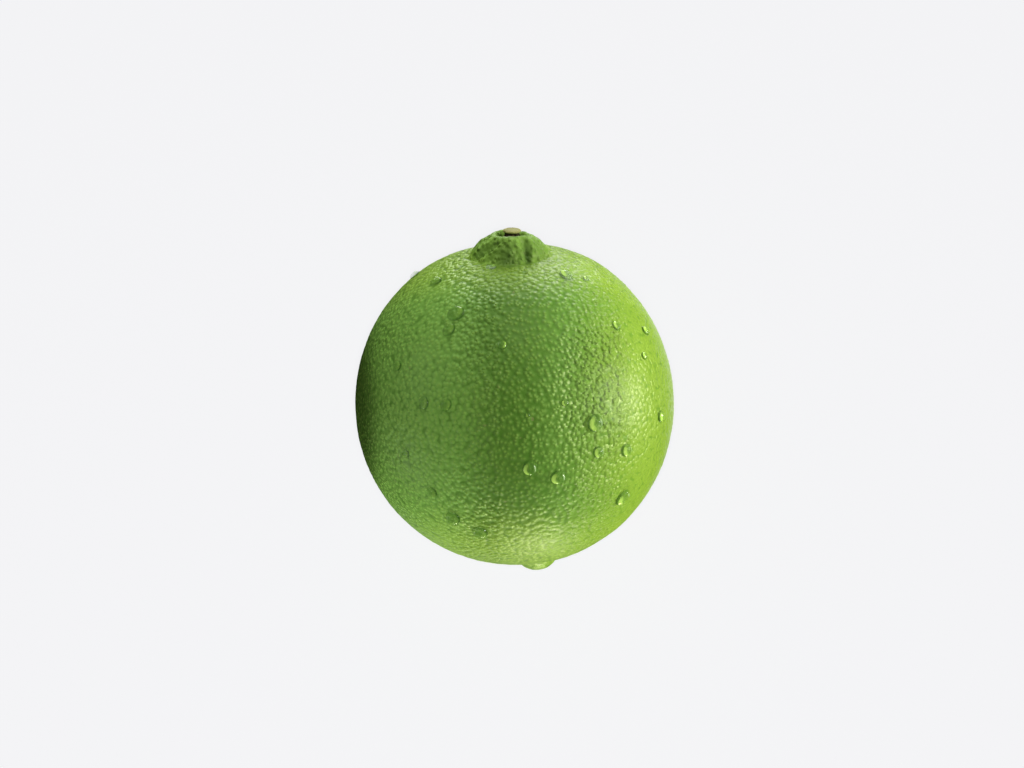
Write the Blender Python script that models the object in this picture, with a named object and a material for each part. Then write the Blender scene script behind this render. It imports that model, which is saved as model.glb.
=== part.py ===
# A fresh lime with its stem button, lying on its side with the stem end raised.
#
# Three pieces: the fruit (rind, knobbly collar and blossom nipple grown as one body), the
# dried calyx in the basin on top of the collar, and the pale cut stub of the stem on it.
# The fruit is shaped in its own frame: +Z runs from its centre to the stem, -Y is the side
# that faces up once it lies down. An empty then lays that frame down on the surface.
# Metres, +Z up. The origin is the middle of the small flat spot that the fruit rests on.

import math
import random

import bmesh
import bpy
import numpy as np
from mathutils import Euler, Vector

MM = 0.001

# Body of the fruit
EQUATOR_RADIUS = 27.5 * MM
SHOULDER_SWELL = 0.0513  # extra radius at the stem end, as a share of the equator's
BLOSSOM_SWELL = 0.005  # the same at the other end
SWELL_POWER = 1.5  # how late both come on
CROWN_DIP = 0.025  # how much of the swell is lost again close round the stem
CROWN_SPAN = (0.82, 1.02)  # cosines between which it is lost
SIDE_SWELL = 0.20 * MM  # how much fuller its -X side is than its +X side
LUMP_HEIGHT = 0.08 * MM
LUMPS = ((2, 0.6, 0, 1.0), (3, 0, 4, 0.7))  # waves round the stem, phase, twist, share of the height

# Knobbly collar that rises round the stem
COLLAR_HEIGHT = 3.22 * MM
COLLAR_SLANT = 0.12  # how much higher it is on the -Y side, as a share of its height
COLLAR_LEAN = 0.03  # the same on the +X side
COLLAR_TOP_RADIUS = 2.62 * MM
COLLAR_FOOT_RADIUS = 7.08 * MM
FRONT_PULL = 1.2 * MM  # how much closer to the stem the foot is on the -Y side
FLANK_CURVE = 1.57  # 1 is a cone, and more is fuller
FLANK_END = 1.6  # how far below its foot the flank runs on under the body
FOOT_FILLET = 0.11 * MM
TWIST_RADIUS = 4.0 * MM  # where a groove has the bearing that is given for it
GROOVE_START = 1.4 * MM  # how far a groove takes to reach its full depth
GROOVE_END = 1.9 * MM  # and to run out again
# Bearing round the stem in degrees, 0 facing up as it lies; degrees that the groove turns for each
# millimetre outwards; depth; width; and how far from the stem it has its full depth, and ends
GROOVES = (
    (-36, 13.0, 1.00 * MM, 0.82 * MM, 4.4 * MM, 7.8 * MM),
    (-88, 4.0, 0.45 * MM, 0.90 * MM, 3.9 * MM, 7.8 * MM),
    (34, 2.0, 1.20 * MM, 0.72 * MM, 4.2 * MM, 6.8 * MM),
    (72, 3.0, 0.40 * MM, 0.90 * MM, 3.9 * MM, 7.8 * MM),
    (108, 4.0, 0.60 * MM, 1.00 * MM, 3.9 * MM, 7.8 * MM),
    (150, 4.0, 0.90 * MM, 1.10 * MM, 3.9 * MM, 7.8 * MM),
    (-166, 4.0, 0.60 * MM, 1.00 * MM, 3.9 * MM, 7.8 * MM),
    (-125, 4.0, 0.70 * MM, 1.00 * MM, 3.9 * MM, 7.8 * MM),
)
BASIN_SHIFT = 0.5 * MM  # how far the basin and the stem stand off the axis, towards +X
BASIN_RADIUS = 2.45 * MM
BASIN_DEPTH = 1.45 * MM
BASIN_WALL = 0.5 * MM  # how wide the slope of the basin's side is
RIM_ROUNDING = 0.3 * MM
RIM_RADIUS = 3.0 * MM

# Nipple at the blossom end
NIPPLE_SIDE_LEAN = math.radians(6)  # off the line of the stem, towards +X
NIPPLE_UP_LEAN = math.radians(5.8)  # and towards -Y
NIPPLE_HEIGHT = 2.2 * MM
NIPPLE_RADIUS = 3.35 * MM
NIPPLE_POWER = 3.5  # 2 is a hill, and more is a button

# Oil glands, pressed into the rind
GLAND_DEPTH = 0.25  # as a share of the distance between the points of the mesh
GLAND_UNEVENNESS = (0.75, 1.2)
GLAND_SEED = 11
BARE_COLLAR = 0.95 * COLLAR_FOOT_RADIUS / EQUATOR_RADIUS  # radians from the stem with no glands
BARE_NIPPLE = 1.1 * NIPPLE_RADIUS / EQUATOR_RADIUS

# Distance between the points of the fruit's mesh
COLLAR_SPACING = 0.55 * MM
BODY_SPACING = 1.60 * MM
NIPPLE_SPACING = 0.85 * MM
SPACING_BLEND = 0.12  # radians over which one spacing goes over into the next
NIPPLE_REACH = 1.3 * NIPPLE_RADIUS / EQUATOR_RADIUS
LAST_RING = 0.4 * NIPPLE_SPACING / EQUATOR_RADIUS
SMALLEST_RING = 6  # points

# How it lies
STEM_RISE = math.radians(30)  # angle of the stem above the surface
STEM_YAW = math.radians(2.33)
FLAT_DEPTH = 0.45 * MM
BARE_FLAT = 1.35 * math.sqrt(2 * FLAT_DEPTH / EQUATOR_RADIUS)

# Calyx and stub; a profile's radii are shares of the piece's, and its heights are lengths
PIECE_GAP = 0.15 * MM
CALYX_RADIUS = 1.62 * MM
SEPAL_COUNT = 5
SEPAL_REACH = 0.12  # how far the sepals stand out, as a share of the radius
SEPAL_CURL = 0.12 * MM
NECK_RADIUS = 1.30 * MM
CALYX_PROFILE = ((0, 0), (0.80, 0.02 * MM), (0.97, 0.16 * MM), (1, 0.28 * MM), (0.92, 0.40 * MM))
NECK_PROFILE = ((1.12, 0.46 * MM), (1, 0.62 * MM))
NECK_TOP = ((0.97, -0.06 * MM), (0.90, 0), (0, 0))  # heights from the neck's own top
STUB_RADIUS = 1.50 * MM
STUB_THICKNESS = 0.46 * MM
STUB_PROFILE = ((0, 0), (0.80, 0), (0.95, 0.10 * MM), (1, 0.24 * MM), (0.96, 0.38 * MM))
STUB_FACE = ((0.84, 0), (0.60, 0.03 * MM), (0.30, 0.05 * MM), (0, 0.05 * MM))  # from its top
STUB_TOP = 31.9 * MM  # from the fruit's centre
STUB_OVAL = (1.04, 0.97)
STUB_SLOPE = 0.04
TURN_STEPS = 36

RIND_GREEN = (0.16, 0.36, 0.045, 1)
RIND_ROUGHNESS = 0.42
CALYX_BROWN = (0.10, 0.075, 0.035, 1)
CALYX_ROUGHNESS = 0.8
STUB_STRAW = (0.55, 0.50, 0.24, 1)
STUB_ROUGHNESS = 0.7

SHARP_ANGLE = math.radians(60)
CUT_TOLERANCE = 1e-7
WELD_DISTANCE = 1e-6
AXIS_MARK = 20 * MM


def ease(value, start, end):
    """0 before start, 1 after end, and a smooth step between them."""
    share = np.clip((value - start) / (end - start), 0, 1)
    return share * share * (3 - 2 * share)


def nipple_direction():
    way = np.array((math.tan(NIPPLE_SIDE_LEAN), -math.tan(NIPPLE_UP_LEAN), -1))
    return way / np.linalg.norm(way)


def body_radius(ways):
    """Radius of the smooth body along unit vectors: a globe with fuller shoulders."""
    height = ways[:, 2]
    shoulder = SHOULDER_SWELL * np.clip(height, 0, 1) ** SWELL_POWER
    shoulder -= CROWN_DIP * ease(height, *CROWN_SPAN)
    blossom = BLOSSOM_SWELL * np.clip(-height, 0, 1) ** SWELL_POWER
    bearing = np.arctan2(ways[:, 1], ways[:, 0])
    waist = np.sqrt(np.clip(1 - height * height, 0, 1))
    uneven = -SIDE_SWELL * np.cos(bearing) * waist**4
    for waves, phase, twist, share in LUMPS:
        uneven += LUMP_HEIGHT * share * np.cos(waves * bearing + phase + twist * height) * waist**waves
    return EQUATOR_RADIUS * (1 + shoulder + blossom) + uneven


def collar_height(points):
    """Height of the collar over the body at (x, y) points off the fruit's axis."""
    reach = np.hypot(points[:, 0], points[:, 1])
    bearing = np.arctan2(points[:, 0], -points[:, 1])
    foot = COLLAR_FOOT_RADIUS - FRONT_PULL * np.clip(np.cos(bearing), 0, 1) ** 2
    down_flank = np.clip((reach - COLLAR_TOP_RADIUS) / (foot - COLLAR_TOP_RADIUS), 0, FLANK_END)
    uneven = COLLAR_SLANT * np.cos(bearing) + COLLAR_LEAN * np.sin(bearing)
    rise = COLLAR_HEIGHT * (1 + uneven * ease(reach, BASIN_RADIUS - BASIN_WALL, RIM_RADIUS))
    rise *= 1 - down_flank**FLANK_CURVE
    height = (rise + np.hypot(rise, 2 * FOOT_FILLET)) / 2
    basin_reach = np.hypot(points[:, 0] - BASIN_SHIFT, points[:, 1])
    height -= BASIN_DEPTH * (1 - ease(basin_reach, BASIN_RADIUS - BASIN_WALL, BASIN_RADIUS + RIM_ROUNDING))
    for degrees, twist, depth, width, head, tail in GROOVES:
        flank = ease(reach, head - GROOVE_START, head) * (1 - ease(reach, tail - GROOVE_END, tail))
        middle = np.radians(degrees - twist * (reach - TWIST_RADIUS) / MM)
        away = np.angle(np.exp(1j * (bearing - middle)))
        height -= depth * flank * np.exp(-((reach * away / width) ** 2))
    return height


def fruit_radius(ways):
    """Radius of the whole fruit along unit vectors, with its collar and nipple but no glands."""
    radius = body_radius(ways)
    radius += np.where(ways[:, 2] > 0, collar_height(radius[:, None] * ways), 0)
    off_nipple = EQUATOR_RADIUS * np.arccos(np.clip(ways @ nipple_direction(), -1, 1))
    return radius + NIPPLE_HEIGHT * np.exp(-((off_nipple / NIPPLE_RADIUS) ** NIPPLE_POWER))


def point_spacing(angle):
    """Distance between points at an angle from the stem: closer at the collar and the nipple."""
    collar_edge = COLLAR_FOOT_RADIUS / EQUATOR_RADIUS
    nipple_edge = math.pi - NIPPLE_SIDE_LEAN - NIPPLE_REACH
    spacing = COLLAR_SPACING
    spacing += (BODY_SPACING - COLLAR_SPACING) * ease(angle, collar_edge, collar_edge + SPACING_BLEND)
    spacing += (NIPPLE_SPACING - BODY_SPACING) * ease(angle, nipple_edge - SPACING_BLEND, nipple_edge)
    return spacing


def spread_points():
    """Unit vectors in rings from the stem to the other end, so that edges follow rim and foot."""
    golden_turn = math.pi * (3 - math.sqrt(5))
    points = [(0, 0, 1)]
    angle = point_spacing(0) / EQUATOR_RADIUS
    turn = 0
    while angle < math.pi - LAST_RING:
        spacing = point_spacing(angle) / EQUATOR_RADIUS
        count = max(SMALLEST_RING, round(math.tau * math.sin(angle) / spacing))
        for index in range(count):
            bearing = turn + math.tau * index / count
            across = math.sin(angle)
            points.append((across * math.cos(bearing), across * math.sin(bearing), math.cos(angle)))
        turn += golden_turn
        angle += spacing * math.sqrt(0.75)
    points.append((0, 0, -1))
    return points


def gland_depths(bm, ways, down):
    """Depth of the pit at each vertex: no two neighbours have one, and the ends stay smooth."""
    stem_angle = np.arccos(np.clip(ways[:, 2], -1, 1))
    nipple_angle = np.arccos(np.clip(ways @ nipple_direction(), -1, 1))
    down_angle = np.arccos(np.clip(ways @ down, -1, 1))
    bare = (stem_angle < BARE_COLLAR) | (nipple_angle < BARE_NIPPLE) | (down_angle < BARE_FLAT)
    draw = random.Random(GLAND_SEED)
    order = list(range(len(ways)))
    draw.shuffle(order)
    depths = np.zeros(len(ways))
    for index in order:
        beside = [edge.other_vert(bm.verts[index]).index for edge in bm.verts[index].link_edges]
        if not bare[index] and not depths[beside].any():
            depth = GLAND_DEPTH * point_spacing(stem_angle[index])
            depths[index] = depth * draw.uniform(*GLAND_UNEVENNESS)
    return depths


def new_material(name, colour, roughness):
    material = bpy.data.materials.new(name)
    material.use_nodes = True
    shader = material.node_tree.nodes["Principled BSDF"]
    shader.inputs["Base Color"].default_value = colour
    shader.inputs["Roughness"].default_value = roughness
    shader.inputs["Metallic"].default_value = 0
    material.diffuse_color = colour
    return material


def add_object(name, mesh, material, parent, collection):
    mesh.materials.append(material)
    mesh.shade_smooth()
    mesh.set_sharp_from_angle(angle=SHARP_ANGLE)
    piece = bpy.data.objects.new(name, mesh)
    piece.parent = parent
    collection.objects.link(piece)
    return piece


def make_fruit(collection, axis, turn, centre_height):
    """The rind, collar and nipple as one closed skin over the spread points, cut flat below."""
    bm = bmesh.new()
    for way in spread_points():
        bm.verts.new(way)
    bmesh.ops.convex_hull(bm, input=bm.verts)
    bm.verts.ensure_lookup_table()
    bm.verts.index_update()
    ways = np.array([vert.co for vert in bm.verts], dtype=float)
    ways /= np.linalg.norm(ways, axis=1)[:, None]
    down = turn.to_matrix().inverted() @ Vector((0, 0, -1))
    radii = fruit_radius(ways) - gland_depths(bm, ways, np.array(down))
    for vert, way, radius in zip(bm.verts, ways, radii):
        vert.co = way * radius
    cut = bmesh.ops.bisect_plane(
        bm,
        geom=bm.verts[:] + bm.edges[:] + bm.faces[:],
        dist=CUT_TOLERANCE,
        plane_co=down * centre_height,
        plane_no=down,
        clear_outer=True,
    )
    rim = [item for item in cut["geom_cut"] if isinstance(item, bmesh.types.BMEdge)]
    bmesh.ops.contextual_create(bm, geom=rim)
    bmesh.ops.recalc_face_normals(bm, faces=bm.faces)
    mesh = bpy.data.meshes.new("fruit")
    bm.to_mesh(mesh)
    bm.free()
    material = new_material("rind", RIND_GREEN, RIND_ROUGHNESS)
    return add_object("fruit", mesh, material, axis, collection)


def turned(name, profile, shape):
    """A mesh spun round Z from (radius, height) points that run up from its base, then shaped."""
    bm = bmesh.new()
    corners = [bm.verts.new((radius, 0, height)) for radius, height in profile]
    edges = [bm.edges.new(pair) for pair in zip(corners, corners[1:])]
    bmesh.ops.spin(
        bm,
        geom=corners + edges,
        cent=(0, 0, 0),
        axis=(0, 0, 1),
        angle=math.tau,
        steps=TURN_STEPS,
    )
    bmesh.ops.remove_doubles(bm, verts=bm.verts, dist=WELD_DISTANCE)
    for vert in bm.verts:
        vert.co = shape(vert.co)
    bmesh.ops.recalc_face_normals(bm, faces=bm.faces)
    mesh = bpy.data.meshes.new(name)
    bm.to_mesh(mesh)
    bm.free()
    return mesh


def sepal_shape(point):
    """Draws the rim of the calyx out into sepals that curl up a little at their tips."""
    reach = math.hypot(point.x, point.y)
    lobe = math.cos(SEPAL_COUNT * math.atan2(point.y, point.x))
    rim = float(ease(reach, NECK_RADIUS, CALYX_RADIUS))
    stretch = 1 + SEPAL_REACH * lobe * rim
    return Vector((point.x * stretch, point.y * stretch, point.z + SEPAL_CURL * lobe * rim))


def stub_shape(point):
    """The stub's cut end is slightly oval and slopes a little."""
    return Vector((point.x * STUB_OVAL[0], point.y * STUB_OVAL[1], point.z - STUB_SLOPE * point.x))


def make_calyx(collection, axis):
    base = float(fruit_radius(np.array(((0.0, 0.0, 1.0),)))[0]) + PIECE_GAP
    top = STUB_TOP - STUB_THICKNESS - PIECE_GAP - base
    profile = [(share * CALYX_RADIUS, height) for share, height in CALYX_PROFILE]
    profile += [(share * NECK_RADIUS, height) for share, height in NECK_PROFILE]
    profile += [(share * NECK_RADIUS, top + height) for share, height in NECK_TOP]
    mesh = turned("calyx", profile, sepal_shape)
    material = new_material("calyx", CALYX_BROWN, CALYX_ROUGHNESS)
    piece = add_object("calyx", mesh, material, axis, collection)
    piece.location = (BASIN_SHIFT, 0, base)


def make_stub(collection, axis):
    profile = [(share * STUB_RADIUS, height) for share, height in STUB_PROFILE]
    profile += [(share * STUB_RADIUS, STUB_THICKNESS + height) for share, height in STUB_FACE]
    mesh = turned("stem_stub", profile, stub_shape)
    material = new_material("cut_stem", STUB_STRAW, STUB_ROUGHNESS)
    piece = add_object("stem_stub", mesh, material, axis, collection)
    piece.location = (BASIN_SHIFT, 0, STUB_TOP - STUB_THICKNESS)


def build():
    for item in list(bpy.data.objects):
        bpy.data.objects.remove(item, do_unlink=True)
    collection = bpy.data.collections.new("lime")
    bpy.context.scene.collection.children.link(collection)

    turn = Euler((STEM_RISE - math.pi / 2, 0, STEM_YAW))
    down = turn.to_matrix().inverted() @ Vector((0, 0, -1))
    radius_below = float(fruit_radius(np.array((down,), dtype=float))[0])
    centre_height = radius_below - FLAT_DEPTH

    axis = bpy.data.objects.new("lime_axis", None)
    axis.empty_display_size = AXIS_MARK
    axis.location.z = centre_height
    axis.rotation_euler = turn
    collection.objects.link(axis)

    make_fruit(collection, axis, turn, centre_height)
    make_calyx(collection, axis)
    make_stub(collection, axis)


build()
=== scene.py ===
import math
import random

import bpy
import numpy as np
from mathutils import Euler, Matrix, Vector
from mathutils.kdtree import KDTree


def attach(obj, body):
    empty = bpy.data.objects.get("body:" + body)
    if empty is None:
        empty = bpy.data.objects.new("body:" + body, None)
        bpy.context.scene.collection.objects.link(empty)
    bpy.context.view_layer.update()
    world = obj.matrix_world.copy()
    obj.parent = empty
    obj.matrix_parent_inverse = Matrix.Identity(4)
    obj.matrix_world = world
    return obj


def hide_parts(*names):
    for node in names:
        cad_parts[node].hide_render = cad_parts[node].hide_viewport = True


# A fresh lime lying on its side with water drops on its rind. Lengths are in metres, angles in
# degrees. The rind is shaped in the fruit's own axes, +Z to the stem, -Y the side that faces up.
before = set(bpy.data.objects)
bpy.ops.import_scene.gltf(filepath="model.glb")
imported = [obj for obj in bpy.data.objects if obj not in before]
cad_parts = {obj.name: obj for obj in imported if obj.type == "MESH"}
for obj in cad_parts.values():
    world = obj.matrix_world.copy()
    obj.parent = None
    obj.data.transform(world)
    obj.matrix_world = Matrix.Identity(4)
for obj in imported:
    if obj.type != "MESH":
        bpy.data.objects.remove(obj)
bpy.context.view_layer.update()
print("frame loaded")

# how it lies
pose = {
    "stemRise": 30,  # of the stem end over the surface
    "stemYaw": 2.33,
    "flatDepth": 0.00045,  # of the flat spot that it rests on
}

# the fruit's form, the same as its solid's
form = {
    "equatorRadius": 0.0275,
    "shoulderSwell": 0.0513,
    "blossomSwell": 0.005,
    "swellPower": 1.5,
    "crownDip": 0.025,
    "crownSpan": (0.82, 1.02),
    "sideSwell": 0.0002,
    "lumpHeight": 0.00008,
    "lumps": ((2, 0.6, 0, 1.0), (3, 0, 4, 0.7)),  # waves, phase, twist and share
    "collarHeight": 0.00322,
    "collarSlant": 0.12,
    "collarLean": 0.03,
    "collarTopRadius": 0.00262,
    "collarFootRadius": 0.00708,
    "frontPull": 0.0012,
    "flankCurve": 1.57,
    "flankEnd": 1.6,
    "footFillet": 0.00011,
    "twistRadius": 0.004,
    # bearing round the stem in degrees, how it turns for each millimetre outwards, depth and width,
    # and how far from the stem it has its full depth and ends
    "grooves": (
        (-36, 13.0, 0.00100, 0.00082, 0.0044, 0.0078),
        (-88, 4.0, 0.00045, 0.00090, 0.0039, 0.0078),
        (34, 2.0, 0.00120, 0.00072, 0.0042, 0.0068),
        (72, 3.0, 0.00040, 0.00090, 0.0039, 0.0078),
        (108, 4.0, 0.00060, 0.00100, 0.0039, 0.0078),
        (150, 4.0, 0.00090, 0.00110, 0.0039, 0.0078),
        (-166, 4.0, 0.00060, 0.00100, 0.0039, 0.0078),
        (-125, 4.0, 0.00070, 0.00100, 0.0039, 0.0078),
    ),
    "creaseShade": 700,  # how much painted shade a groove gets for each metre of its depth
    # patches of painted shade on the collar: place across and along, width, length and share
    "shadePatches": (
        (-0.0005, -0.0058, 0.0027, 0.0020, 1.7),
        (0.0030, -0.0048, 0.0007, 0.0018, 1.1),
        (0.0052, -0.0036, 0.0022, 0.0030, 0.9),
    ),
    "grooveStart": 0.0014,  # how far a groove takes to reach its full depth
    "grooveEnd": 0.0019,  # and to run out again
    "basinShift": 0.0005,
    "basinRadius": 0.00245,
    "basinDepth": 0.00145,
    "basinWall": 0.0005,
    "rimRounding": 0.0003,
    "rimRadius": 0.003,
    "nippleSideLean": 6,
    "nippleUpLean": 5.8,
    "nippleHeight": 0.0022,
    "nippleRadius": 0.00335,
    "nipplePower": 3.5,
}


def ease(value, start, end):
    share = np.clip((value - start) / (end - start), 0, 1)
    return share * share * (3 - 2 * share)


def nippleWay():
    side = math.tan(math.radians(form["nippleSideLean"]))
    up = math.tan(math.radians(form["nippleUpLean"]))
    way = np.array((side, -up, -1))
    return way / np.linalg.norm(way)


def bodyRadius(ways):
    height = ways[:, 2]
    shoulder = form["shoulderSwell"] * np.clip(height, 0, 1) ** form["swellPower"]
    shoulder -= form["crownDip"] * ease(height, *form["crownSpan"])
    blossom = form["blossomSwell"] * np.clip(-height, 0, 1) ** form["swellPower"]
    bearing = np.arctan2(ways[:, 1], ways[:, 0])
    waist = np.sqrt(np.clip(1 - height * height, 0, 1))
    uneven = -form["sideSwell"] * np.cos(bearing) * waist**4
    for waves, phase, twist, share in form["lumps"]:
        lump = np.cos(waves * bearing + phase + twist * height) * waist**waves
        uneven += form["lumpHeight"] * share * lump
    return form["equatorRadius"] * (1 + shoulder + blossom) + uneven


def grooveDepth(points):
    # the grooves down the collar's sides, from its rim to its foot
    reach = np.hypot(points[:, 0], points[:, 1])
    bearing = np.arctan2(points[:, 0], -points[:, 1])
    total = np.zeros(len(points))
    for degrees, twist, depth, width, head, tail in form["grooves"]:
        flank = ease(reach, head - form["grooveStart"], head)
        flank *= 1 - ease(reach, tail - form["grooveEnd"], tail)
        middle = np.radians(degrees - 1000 * twist * (reach - form["twistRadius"]))
        away = np.angle(np.exp(1j * (bearing - middle)))
        total += depth * flank * np.exp(-((reach * away / width) ** 2))
    return total


def paintedCollarShade(points):
    # painted shade on the collar: in its grooves, low at the front and on its right flank
    total = form["creaseShade"] * grooveDepth(points)
    for across, far, width, length, share in form["shadePatches"]:
        away = np.hypot((points[:, 0] - across) / width, (points[:, 1] - far) / length)
        total += share * np.exp(-(away**2))
    return total


def collarHeight(points):
    # over the body, at points beside the fruit's axis
    reach = np.hypot(points[:, 0], points[:, 1])
    bearing = np.arctan2(points[:, 0], -points[:, 1])
    top, basin, wall = form["collarTopRadius"], form["basinRadius"], form["basinWall"]
    foot = form["collarFootRadius"] - form["frontPull"] * np.clip(np.cos(bearing), 0, 1) ** 2
    downFlank = np.clip((reach - top) / (foot - top), 0, form["flankEnd"])
    uneven = form["collarSlant"] * np.cos(bearing) + form["collarLean"] * np.sin(bearing)
    rise = form["collarHeight"] * (1 + uneven * ease(reach, basin - wall, form["rimRadius"]))
    rise *= 1 - downFlank ** form["flankCurve"]
    height = (rise + np.hypot(rise, 2 * form["footFillet"])) / 2
    basinReach = np.hypot(points[:, 0] - form["basinShift"], points[:, 1])
    height -= form["basinDepth"] * (1 - ease(basinReach, basin - wall, basin + form["rimRounding"]))
    return height - grooveDepth(points)


def fruitRadius(ways):
    radius = bodyRadius(ways)
    radius += np.where(ways[:, 2] > 0, collarHeight(radius[:, None] * ways), 0)
    offNipple = form["equatorRadius"] * np.arccos(np.clip(ways @ nippleWay(), -1, 1))
    button = np.exp(-((offNipple / form["nippleRadius"]) ** form["nipplePower"]))
    return radius + form["nippleHeight"] * button


turn = Euler((math.radians(pose["stemRise"] - 90), 0, math.radians(pose["stemYaw"]))).to_matrix()
down = np.array(turn.inverted() @ Vector((0, 0, -1)))
centre = Vector((0, 0, float(fruitRadius(down[None, :])[0]) - pose["flatDepth"]))
layDown = Matrix.Translation(centre) @ turn.to_4x4()

# how the camera looks down on it
shot = {
    "elevation": 80,
    "distance": 0.494,
    "lens": 100,
    "sensor": 36,
    "photoSize": (1024, 768),
    "fruitPixel": (515.5, 405.5),
    "clipStart": 0.01,
}


def cameraAxes():
    rise = math.radians(shot["elevation"])
    right = Vector((1, 0, 0))
    up = Vector((0, math.sin(rise), math.cos(rise)))
    back = Vector((0, -math.cos(rise), math.sin(rise)))
    return right, up, back


def metresPerPixel():
    # of the photo, at the fruit's distance
    return shot["sensor"] / shot["lens"] * shot["distance"] / shot["photoSize"][0]


def cameraPlace():
    # level with the fruit's centre, then moved so that the centre falls on its pixel
    width, height = shot["photoSize"]
    right, up, back = cameraAxes()
    across = (shot["fruitPixel"][0] - width / 2) * metresPerPixel()
    below = (shot["fruitPixel"][1] - height / 2) * metresPerPixel()
    return centre + back * shot["distance"] - right * across + up * below


def photoRay(across, below):
    # from the camera through a pixel of the photo
    width, height = shot["photoSize"]
    right, up, back = cameraAxes()
    start = cameraPlace()
    target = start - back * shot["distance"]
    target += right * (across - width / 2) * metresPerPixel()
    target -= up * (below - height / 2) * metresPerPixel()
    return start, (target - start).normalized()


class Wire:
    # a socket of a node tree: arithmetic on it adds Math nodes
    def __init__(self, bench, socket):
        self.bench = bench
        self.socket = socket

    def outlet(self, name):
        return Wire(self.bench, self.socket.node.outputs[name])

    def maths(self, operation, first, second):
        return self.bench.add("ShaderNodeMath", {"operation": operation}, {0: first, 1: second})

    def __add__(self, other):
        return self.maths("ADD", self, other)

    def __radd__(self, other):
        return self.maths("ADD", other, self)

    def __sub__(self, other):
        return self.maths("SUBTRACT", self, other)

    def __rsub__(self, other):
        return self.maths("SUBTRACT", other, self)

    def __mul__(self, other):
        return self.maths("MULTIPLY", self, other)

    def __rmul__(self, other):
        return self.maths("MULTIPLY", other, self)

    def __abs__(self):
        return self.maths("ABSOLUTE", self, 0)


class Bench:
    # one node tree, and the one way that a node gets into it
    def __init__(self, tree):
        self.tree = tree

    def add(self, kind, settings, sockets, outlet=0):
        node = self.tree.nodes.new(kind)
        for name, value in settings.items():
            setattr(node, name, value)
        self.feed(node, sockets)
        return Wire(self, node.outputs[outlet]) if node.outputs else None

    def feed(self, node, sockets):
        for name, value in sockets.items():
            if isinstance(value, Wire):
                self.tree.links.new(value.socket, node.inputs[name])
            else:
                node.inputs[name].default_value = value

    def ease(self, value, start, end):
        settings = {"interpolation_type": "SMOOTHSTEP"}
        return self.add("ShaderNodeMapRange", settings, {"Value": value, "From Min": start, "From Max": end})

    def noise(self, place, scale, detail=2, roughness=0.5):
        sockets = {"Vector": place, "Scale": scale, "Detail": detail, "Roughness": roughness}
        return self.add("ShaderNodeTexNoise", {"noise_dimensions": "3D"}, sockets)

    def mix(self, factor, first, second):
        # sockets 6 and 7 and outlet 2 are the ones for colours
        return self.add("ShaderNodeMix", {"data_type": "RGBA"}, {0: factor, 6: first, 7: second}, 2)

    def bump(self, height, distance, strength=1, normal=None):
        sockets = {"Height": height, "Distance": distance, "Strength": strength}
        if normal:
            sockets["Normal"] = normal
        return self.add("ShaderNodeBump", {}, sockets)


def newMaterial(name):
    material = bpy.data.materials.new(name)
    material.use_nodes = True
    return material, Bench(material.node_tree), material.node_tree.nodes["Principled BSDF"]


def objectPlace(bench):
    return bench.add("ShaderNodeTexCoord", {}, {}, "Object")


def startPiece(operator, **options):
    bpy.ops.object.select_all(action="DESELECT")
    operator(**options)
    return bpy.context.object


def applyModifier(piece, name, kind, **settings):
    modifier = piece.modifiers.new(name, kind)
    for key, value in settings.items():
        setattr(modifier, key, value)
    bpy.context.view_layer.objects.active = piece
    bpy.ops.object.modifier_apply(modifier=name)


def getPoints(mesh):
    points = np.empty(len(mesh.vertices) * 3, dtype=np.float32)
    mesh.vertices.foreach_get("co", points)
    return points.reshape(-1, 3).astype(float)


def setPoints(mesh, points):
    mesh.vertices.foreach_set("co", points.astype(np.float32).ravel())
    mesh.update()


# the rind's mesh and relief
rindMesh = {
    "cuts": 15,  # of each edge of the cube that it starts from
    "levels": 3,
    "crowding": 0.36,  # how much closer the points stand on the collar
    "crowdingReach": 0.30,  # radians from the stem
    "upCrowding": 0.16,  # and on the side that faces up
    "upCrowdingReach": 1.5,
    "collarFade": (0.0056, 0.0074),  # from the stem, where the collar's look goes over into the rind's
    "basinFade": (0.0019, 0.0028),
    "flatFade": (0.0002, 0.0012),  # heights between which the relief comes in over the flat spot
}
glands = {
    "count": 14500,
    "jitter": 0.0100,
    "seed": 7,
    "unevenness": (0.70, 1.25),
    "reach": 0.00034,
    "height": 0.00005,
    "onCollar": 0.4,  # share of their height there
    "wrinkleScale": 860,
    "wrinkleDepth": 0.00014,
    "swellScale": 170,
    "swellDepth": 0.00022,
    "knobScale": 760,
    "knobDepth": 0.00040,
}
# how rough the rind is on the picture's left, in its middle, in a band right of that, at its right
# edge and below the collar, and between which places each goes over into the next
pebbling = {
    "left": 0.28,
    "leftEnd": (-0.015, -0.005),
    "middle": 0.40,
    "middleStart": (-0.0040, -0.0010),
    "band": 2.0,
    "bandStart": (0.0055, 0.0135),
    "bandEnd": (0.0155, 0.0205),
    "bandTips": (0.006, 0.013),
    "tipLoss": 0.45,
    "right": 0.5,
    "shoulder": 1.1,
    "shoulderStart": (0.013, 0.018),
    "shoulderSides": (0.009, 0.015),
}


def crowd(ways, pole, share, reach):
    # draws directions in towards a pole
    angle = np.arccos(np.clip(ways @ pole, -1, 1))
    aside = ways - np.cos(angle)[:, None] * pole
    aside /= np.maximum(np.linalg.norm(aside, axis=1), 1e-9)[:, None]
    angle *= 1 - share * np.exp(-((angle / reach) ** 2))
    return np.cos(angle)[:, None] * pole + np.sin(angle)[:, None] * aside


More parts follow.
